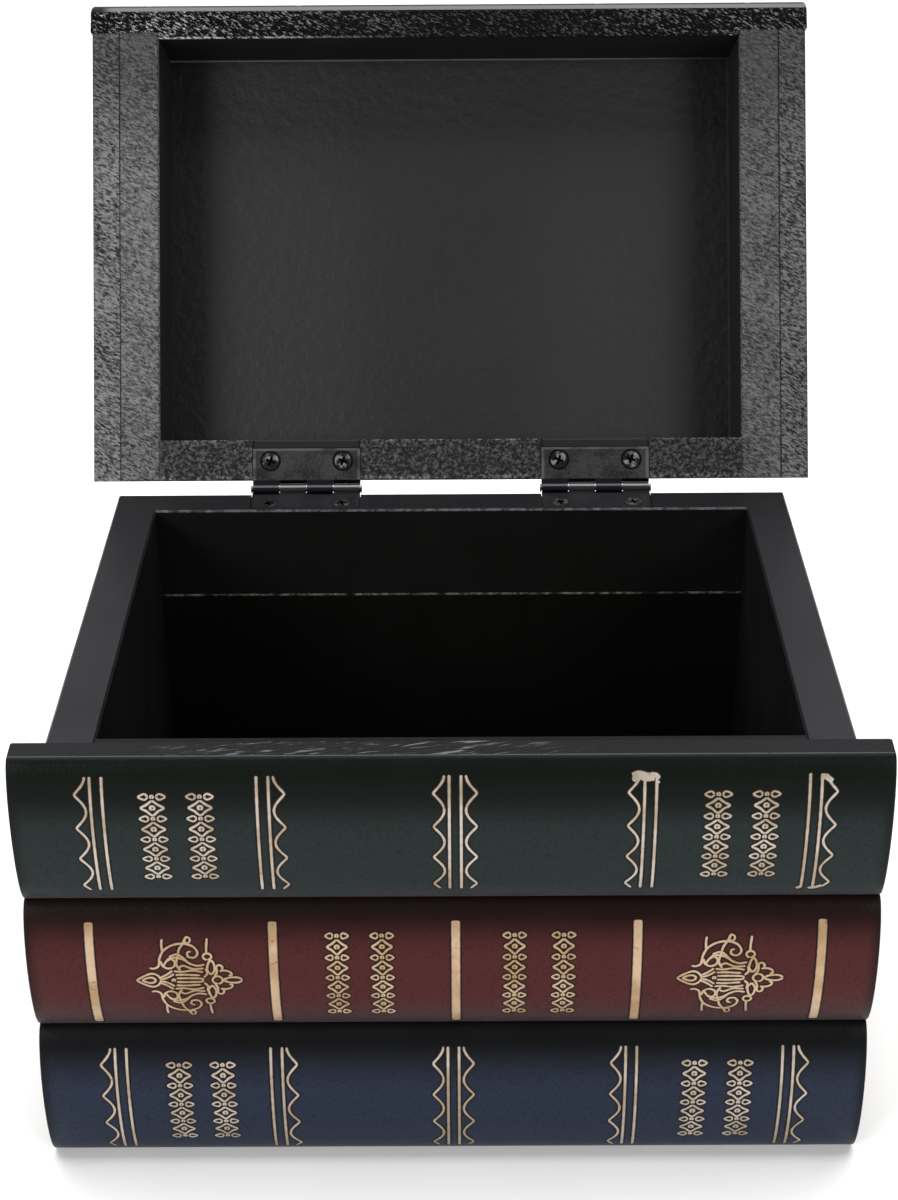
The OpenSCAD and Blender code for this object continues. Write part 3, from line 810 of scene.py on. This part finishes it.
# The lid's back leans in upward. Carried down to the table, it would reach LID_REAR.
LID_SLOPE = math.tan(math.radians(4.5))
LID_REAR = WALL_REAR + LID_Z * LID_SLOPE
LID_WALL_INSIDE = corners("lid_right_wall")[0][0]
RAIL_THICKNESS = 14.5 * MM
RAIL_INSIDE = WALL_REAR - RAIL_THICKNESS
LID_INSIDE_BLACK = (0.012, 0.012, 0.0115, 1)
RECESS_FRONT = corners("front_panel")[1][1]
leaf_low, leaf_high = corners("right_hinge_box_leaf")
HINGE_X, HALF_HINGE = (leaf_low[0] + leaf_high[0]) / 2.0, (leaf_high[0] - leaf_low[0]) / 2.0


def closed_place(tree, place):
    """Turns the coordinates of the open lid back to those of the shut lid."""
    shifted = shader(tree, "VectorMath", {"operation": "SUBTRACT"}, _0=place,
                     _1=(0.0, PIN_Y, PIN_Z)).outputs[0]
    return shader(tree, "Mapping", {"vector_type": "POINT"}, Vector=shifted,
                  Rotation=(OPEN_ANGLE, 0.0, 0.0), Location=(0.0, PIN_Y, PIN_Z)).outputs[0]


def shut_to_open(points):
    """Turns points, in millimetres, with the lid from its shut to its open place."""
    pin = np.array([PIN_Y, PIN_Z]) / MM
    turn_cos, turn_sin = math.cos(-OPEN_ANGLE), math.sin(-OPEN_ANGLE)
    turn = np.array([[turn_cos, turn_sin], [-turn_sin, turn_cos]])
    return np.concatenate([points[..., :1], pin + (points[..., 1:] - pin) @ turn], axis=-1)


# Wrinkled paint: short slanting ridges, higher and lower from place to place.
wrinkled, given, result = new_group(
    "wrinkled_coat", [("Place", "Vector"), ("Size", "Float")],
    [("Height", "Float"), ("Crests", "Float")])
scaled = scaled_by(wrinkled, given["Place"], given["Size"])
slanted = shader(wrinkled, "Mapping", {"vector_type": "TEXTURE"}, Vector=scaled,
                 Rotation=(0.0, 0.0, math.radians(28)), Scale=(0.8, 0.30, 0.30)).outputs[0]
ripple = noise(wrinkled, slanted, 1.0, 4.0, 0.72, distortion=0.4)
swell = plus(wrinkled, noise(wrinkled, scaled, 0.1, 2.0), -0.5)
crest = plus(wrinkled, ripple, times(wrinkled, swell, 0.12))
wrinkled.links.new(crest, result["Height"])
wrinkled.links.new(between(wrinkled, crest, 0.34, 0.68), result["Crests"])


def wrinkled_coat(name, size, paged=True):
    """The wrinkled paint on the underside of the lid, with painted highlights on its crests,
    brighter on the left wall than on the right one, dimmer toward the front and least on the back
    rail, with more along the rail's edges. The inner faces of the boards are smooth and dark, and
    their outer faces are page edges if the piece is paged, and else black."""
    material, tree, surface, place = new_finish(name, Specular_IOR_Level=0.16)
    here = closed_place(tree, place)
    x, y, z = axes(tree, here)
    off = calc(tree, "ABSOLUTE", x)
    coat = placed(tree, wrinkled, Place=here, Size=size)
    leaves = placed(tree, page_leaves, Place=here)
    leaned = plus(tree, y, times(tree, z, LID_SLOPE))
    deep = past(tree, z, LID_Z + 0.6 * MM, 0.2 * MM)
    outer = times(tree, largest(tree, past(tree, off, WALL_X - PAGE_SKIN),
                                past(tree, leaned, LID_REAR - 0.8 * MM, 0.1 * MM)), deep)
    inner = times(tree, outside(tree, outer), deep)
    wall = past(tree, off, LID_WALL_INSIDE - 0.6 * MM, 1.0 * MM)
    # Painted highlights on the crests: brighter on the left wall than on the right, dimmer toward
    # the front, and least on the rail.
    glint_brightness = times(tree, between(tree, x, -100 * MM, 100 * MM, 0.192, 0.138),
                between(tree, y, -76 * MM, -20 * MM, 0.45, 1.0),
                plus(tree, times(tree, wall, 0.52), 0.48))
    # More painted highlights along both edges of the rail.
    rail_edge_glints = largest(tree, past(tree, y, RAIL_INSIDE + 0.8 * MM, -0.9 * MM),
                         past(tree, y, WALL_REAR - 2.3 * MM, 1.3 * MM))
    glint_brightness = plus(tree, glint_brightness, times(tree, rail_edge_glints, outside(tree, wall), 0.10))
    # On the rail between the walls the grain is short, without a direction.
    pitted = between(tree, noise(tree, here, 800.0, 4.0, 0.75), 0.44, 0.66)
    ripples = coat["Crests"] if paged else between(tree, coat["Crests"], 0.04, 0.94)
    crests = shader(tree, "Mix", _0=wall, _2=pitted, _3=ripples).outputs[0]
    paint = blended(tree, crests, (0.003, 0.003, 0.0033, 1), neutral(tree, glint_brightness))
    # The mortises of the hinges run on to the rail's inner edge, and are smooth and dark there.
    from_hinge = distance(tree, off, HINGE_X)
    mortise = times(tree, past(tree, from_hinge, HALF_HINGE + 0.2 * MM, -0.4 * MM),
                    past(tree, y, RAIL_INSIDE - 1.0 * MM, 0.4 * MM))
    # A painted shadow line at each end of the mortise.
    outline = times(tree, past(tree, from_hinge, HALF_HINGE - 0.7 * MM, 0.5 * MM), mortise)
    paint = blended(tree, mortise, paint, (0.017, 0.017, 0.0175, 1))
    paint = blended(tree, outline, paint, grey(0.001))
    paint = blended(tree, inner, paint, LID_INSIDE_BLACK)
    paint = blended(tree, outer, paint, leaves["Colour"] if paged else PIGMENTS["black"])
    height = plus(tree, times(tree, coat["Height"], outside(tree, largest(tree, deep, mortise))),
                  times(tree, outer, leaves["Height"], 0.1))
    finished(tree, surface, height, 0.6 * MM, Base_Color=paint,
             Roughness=plus(tree, times(tree, deep, 0.36), 0.24))
    return material


dress(wrinkled_coat("lid_frame_coat", 500.0), "lid_left_wall", "lid_right_wall", "lid_back_rail")
dress(wrinkled_coat("lid_strip_coat", 420.0, paged=False), "lid_strip_left", "lid_strip_right")


# Front of the lid
# The fourth book's spine is moulded and tooled in millimetres like the others, in black, with
# wide plain rules. A thin panel stands behind it. The wrinkled coat covers both lower edges.
LID_HEIGHT, LID_SPINE_DEPTH = 47.0, 13.6
LID_SPINE = (LID_Z / MM, LID_HEIGHT, LID_SPINE_DEPTH)


def front_coat(name, is_spine):
    """The coat on the front edge of the lid's underside, where only the highest crests carry
    painted highlights, most of all at the corners. Above it the spine is black leatherette with a
    painted highlight along its lower edge, and the panel is smooth dark paint."""
    material, tree, surface, place = new_finish(name, Specular_IOR_Level=0.04)
    here = closed_place(tree, place)
    x, y, z = axes(tree, here)
    coat = placed(tree, wrinkled, Place=here, Size=430.0)
    grain = placed(tree, hide_grain, Place=here, Size=1100.0)
    # Painted highlights on the highest crests, brighter toward the corners.
    glint_brightness = plus(tree, between(tree, x, 0.0, -115 * MM, 0.05, 0.34),
               between(tree, x, 30 * MM, 115 * MM, 0.0, 0.10))
    crests = between(tree, coat["Crests"], 0.62, 1.0)
    if is_spine:
        across = marked(tree, "across")
        under = between(tree, across, 0.948, 0.953)
        skin = blended(tree, between(tree, grain["Mottle"], 0.3, 0.7, 0.35, 0.75),
                       SOOT_AND_SHADE["black"], PIGMENTS["black"])
        # Painted highlight along the spine's lower edge, all but at its very left end.
        worn = times(tree, between(tree, across, 0.82, 0.88),
                     between(tree, x, -123.5 * MM, -119 * MM))
        skin = blended(tree, worn, skin, (0.13, 0.13, 0.135, 1))
    else:
        under = past(tree, z, LID_Z + 0.8 * MM, -0.2 * MM)
        skin = LID_INSIDE_BLACK
        # A bright ragged line is painted on the crests along the left of the recess, as a painted
        # highlight.
        line = times(tree, past(tree, y, RECESS_FRONT - 0.8 * MM, 0.3 * MM),
                     between(tree, x, -5 * MM, -65 * MM),
                     between(tree, coat["Crests"], 0.25, 0.55))
        crests = largest(tree, crests, line)
    paint = blended(tree, crests, (0.0008, 0.0008, 0.0010, 1), neutral(tree, glint_brightness))
    height = plus(tree, times(tree, outside(tree, under), grain["Height"], 0.1),
                  times(tree, under, coat["Height"]))
    finished(tree, surface, height, 0.6 * MM, Base_Color=blended(tree, under, skin, paint),
             Roughness=between(tree, under, 0.0, 1.0, 0.40, 0.50))
    return material


dress(front_coat("lid_front_coat", False), "lid_front_panel")
lid_leather = front_coat("lid_spine_leather", True)
piece = make_spine("moulded_lid_spine", LID_SPINE, lid_leather, "lid", shut_to_open)
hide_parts("lid_spine")
lid_face = Face(LID_SPINE, shut_to_open)
strokes = wide_rules(lid_face, (-106.5, -53.2, 0.0, 53.2, 106.5), (190.6, 152.9))
tool("lid_spine_tooling", lid_face, strokes, gold_foil, "lid")


# Recess of the lid
# The inner panel is sprayed matt charcoal. It is painted brighter in two soft lobes and toward
# the front as painted reflections, and darker along its sides as painted shade. A bright broken
# line is painted along its front edge, and faintly along the right one, as a painted highlight.
recess_paint, tree, surface, place = new_finish("recess_paint", Roughness=0.47,
                                                Specular_IOR_Level=0.38)
film = placed(tree, paint_film, Place=place, Size=1.4)
x, y = axes(tree, closed_place(tree, place))[:2]
off = calc(tree, "ABSOLUTE", x)
# Painted highlights along the seams at the front and the right edges.
front_seam_highlight = times(tree, past(tree, y, RECESS_FRONT + 0.7 * MM, -0.3 * MM),
                   between(tree, x, 105 * MM, 60 * MM, 0.25, 1.0))
right_seam_highlight = times(tree, past(tree, x, LID_WALL_INSIDE - 1.0 * MM, 0.4 * MM), 0.12)
seam_highlight = times(tree, largest(tree, front_seam_highlight, right_seam_highlight),
             between(tree, film["Patches"], 0.3, 0.6, 0.45, 1.0))
# Painted reflections: two soft brighter lobes, and brighter toward the front.
reflection_lobes = times(tree, between(tree, off, 15 * MM, 50 * MM), between(tree, off, 95 * MM, 65 * MM))
painted_light = largest(tree, reflection_lobes, between(tree, y, 0.0, -60 * MM, 0.0, 0.6))
paint = blended(tree, between(tree, film["Patches"], 0.35, 0.7),
                (0.0030, 0.0030, 0.0028, 1), (0.0050, 0.0050, 0.0048, 1))
paint = blended(tree, painted_light, paint, (0.0082, 0.0082, 0.0080, 1))
# Painted shade along the sides, beside the recess walls.
paint = blended(tree, between(tree, off, 78 * MM, 97 * MM), paint, (0.0008, 0.0008, 0.0007, 1))
finished(tree, surface, film["Height"], 0.22 * MM,
         Base_Color=blended(tree, seam_highlight, paint, (0.085, 0.085, 0.083, 1)))
dress(recess_paint, "lid_inner_panel")


# Hinges and screws
# Two steel butt hinges let into the wood, with blackened leaves, knuckles worn glossy where
# they turn, and countersunk cross-slotted screws.
LEAF_FRONT = leaf_low[1]
KNUCKLE = HALF_HINGE / 2.0
SCREW_PITCH = 25.6 * MM
SCREW_Y = float(np.mean([corner[1] for corner in corners("box_leaf_screws")]))
HEAD_RADIUS = 3.1 * MM


def steel(name, on_lid=False, head=False):
    """Blackened steel, painted darker on the box than on the lid as painted shade. A leaf is dark
    in a ring round each screw and glossy on its knuckles, with painted shade above the other
    leaf's knuckles, and on the lid a painted highlight along its edges. A screw's head is
    patchily rubbed, and its cross is painted dark as painted shade in the slots."""
    material, tree, surface, place = new_finish(name, Metallic=0.9, Roughness=0.28)
    x, y, z = axes(tree, closed_place(tree, place) if on_lid else place)
    speckle = noise(tree, place, 1900.0, 3.0, 0.7)
    patch = noise(tree, place, 420.0 if head else 120.0, 3.0, 0.55)
    off_middle = distance(tree, calc(tree, "ABSOLUTE", x), HINGE_X)
    off_x, off_y = plus(tree, off_middle, -SCREW_PITCH / 2.0), plus(tree, y, -SCREW_Y)
    from_screw = calc(tree, "SQRT", plus(tree, times(tree, off_x, off_x),
                                         times(tree, off_y, off_y)))
    if head:
        # Painted shade: the box's screw heads are darker than the lid's.
        low, high = (grey(0.03), (0.48, 0.48, 0.49, 1)) if on_lid else (
            grey(0.012), (0.12, 0.12, 0.13, 1))
        tint = blended(tree, between(tree, patch, 0.47, 0.63), low, high)
        tint = blended(tree, past(tree, from_screw, HEAD_RADIUS - 0.6 * MM, 0.6 * MM), tint,
                       grey(0.03))
        # Painted shade in the cross slots.
        face_depth = distance(tree, z, LID_Z if on_lid else RIM)
        tint = blended(tree, past(tree, face_depth, 0.08 * MM, 0.12 * MM), tint, grey(0.002))
    else:
        # Painted shade: the box's leaves are darker than the lid's.
        low, high = ((0.030, 0.030, 0.031, 1), (0.105, 0.105, 0.108, 1)) if on_lid else (
            (0.008, 0.008, 0.010, 1), (0.026, 0.026, 0.030, 1))
        mottle = plus(tree, times(tree, speckle, 0.6), times(tree, patch, 0.4))
        tint = blended(tree, between(tree, mottle, 0.38, 0.62), low, high)
        tint = blended(tree, past(tree, from_screw, HEAD_RADIUS + 0.9 * MM, -0.6 * MM), tint,
                       grey(0.004))
        if on_lid:
            # Painted highlight along the leaf's front edge and ends.
            leaf_edge_highlight = largest(tree, past(tree, y, LEAF_FRONT + 1.0 * MM, -0.4 * MM),
                             past(tree, off_middle, HALF_HINGE - 1.3 * MM, 0.5 * MM))
            leaf_edge_highlight = times(tree, leaf_edge_highlight, between(tree, patch, 0.36, 0.54, 0.3, 1.0))
            tint = blended(tree, leaf_edge_highlight, tint, (0.19, 0.19, 0.192, 1))
        knuckles = past(tree, y, PIN_Y - 3.6 * MM, 0.6 * MM)
        tint = blended(tree, knuckles, tint, (0.032, 0.032, 0.036, 1) if on_lid else (
            0.085, 0.085, 0.09, 1))
        # Counted from the left, the first and third knuckles are the lid's.
        along = calc(tree, "SUBTRACT", x, times(tree, calc(tree, "SIGN", x), HINGE_X))
        pair = calc(tree, "FRACT", calc(tree, "DIVIDE", plus(tree, along, 2.0 * KNUCKLE),
                                        2.0 * KNUCKLE))
        other = between(tree, pair, *((0.49, 0.51) if on_lid else (0.51, 0.49)))
        # Painted shade above the other leaf's knuckles.
        gap_shade = times(tree, knuckles, other, past(tree, y, PIN_Y - 1.6 * MM, -0.4 * MM))
        tint = blended(tree, gap_shade, tint, grey(0.002))
        tree.links.new(between(tree, knuckles, 0.0, 1.0, 0.30, 0.20), surface["Roughness"])
    finished(tree, surface, speckle, 0.015 * MM, Base_Color=tint)
    return material


dress(steel("box_leaf_steel"), "left_hinge_box_leaf", "right_hinge_box_leaf",
      "left_hinge_pin", "right_hinge_pin")
dress(steel("lid_leaf_steel", on_lid=True), "left_hinge_lid_leaf", "right_hinge_lid_leaf")
dress(steel("box_screw_steel", head=True), "box_leaf_screws")
dress(steel("lid_screw_steel", on_lid=True, head=True), "lid_leaf_screws")


# Floor and light
# A wide pale floor and plain soft studio light: a large panel overhead, one behind, a smaller
# one on each side in front, the left one stronger, and a dim surround.
FLOOR_REACH = 6.0
FLOOR_Z = -0.2 * MM
floor_finish, tree, surface, place = new_finish("studio_floor", Roughness=0.7,
                                                Specular_IOR_Level=0.2)
tree.links.new(blended(tree, noise(tree, place, 3.0), grey(0.90), grey(0.93)),
               surface["Base Color"])
floor_mesh = bpy.data.meshes.new("studio_floor")
floor_mesh.from_pydata([(x * FLOOR_REACH, y * FLOOR_REACH, FLOOR_Z)
                        for x, y in ((-1, -1), (1, -1), (1, 1), (-1, 1))], [], [(0, 1, 2, 3)])
floor_mesh.materials.append(floor_finish)
floor = added("studio_floor", floor_mesh)


def panel_light(name, place, target, width, height, power):
    """A rectangular soft light at place, facing target."""
    lamp = bpy.data.lights.new(name, "AREA")
    lamp.shape = "RECTANGLE"
    lamp.size, lamp.size_y = width, height
    lamp.energy = power
    aim = np.array(target) - np.array(place)
    aim /= np.linalg.norm(aim)
    sideways = np.cross(aim, (0.0, 0.0, 1.0))
    sideways /= np.linalg.norm(sideways)
    aimed(added(name, lamp), place, sideways, np.cross(sideways, aim), -aim)


panel_light("overhead_panel", (0.0, 0.5, 2.0), (0.0, 0.1, 0.0), 3.0, 2.1, 80.0)
panel_light("backdrop_panel", (0.0, 3.2, 1.5), (0.0, 0.0, 0.3), 4.0, 2.4, 16.0)
panel_light("front_left_panel", (-1.5, -1.8, 1.3), (0.0, 0.0, 0.2), 0.9, 0.9, 32.0)
panel_light("front_right_panel", (1.5, -1.8, 1.3), (0.0, 0.0, 0.2), 0.9, 0.9, 23.0)
world = bpy.data.worlds.new("studio")
world.use_nodes = True
surround = world.node_tree.nodes["Background"].inputs
surround["Color"].default_value = grey(1.0)
surround["Strength"].default_value = 0.15
bpy.context.scene.world = world
bpy.context.scene.view_settings.view_transform = "Standard"
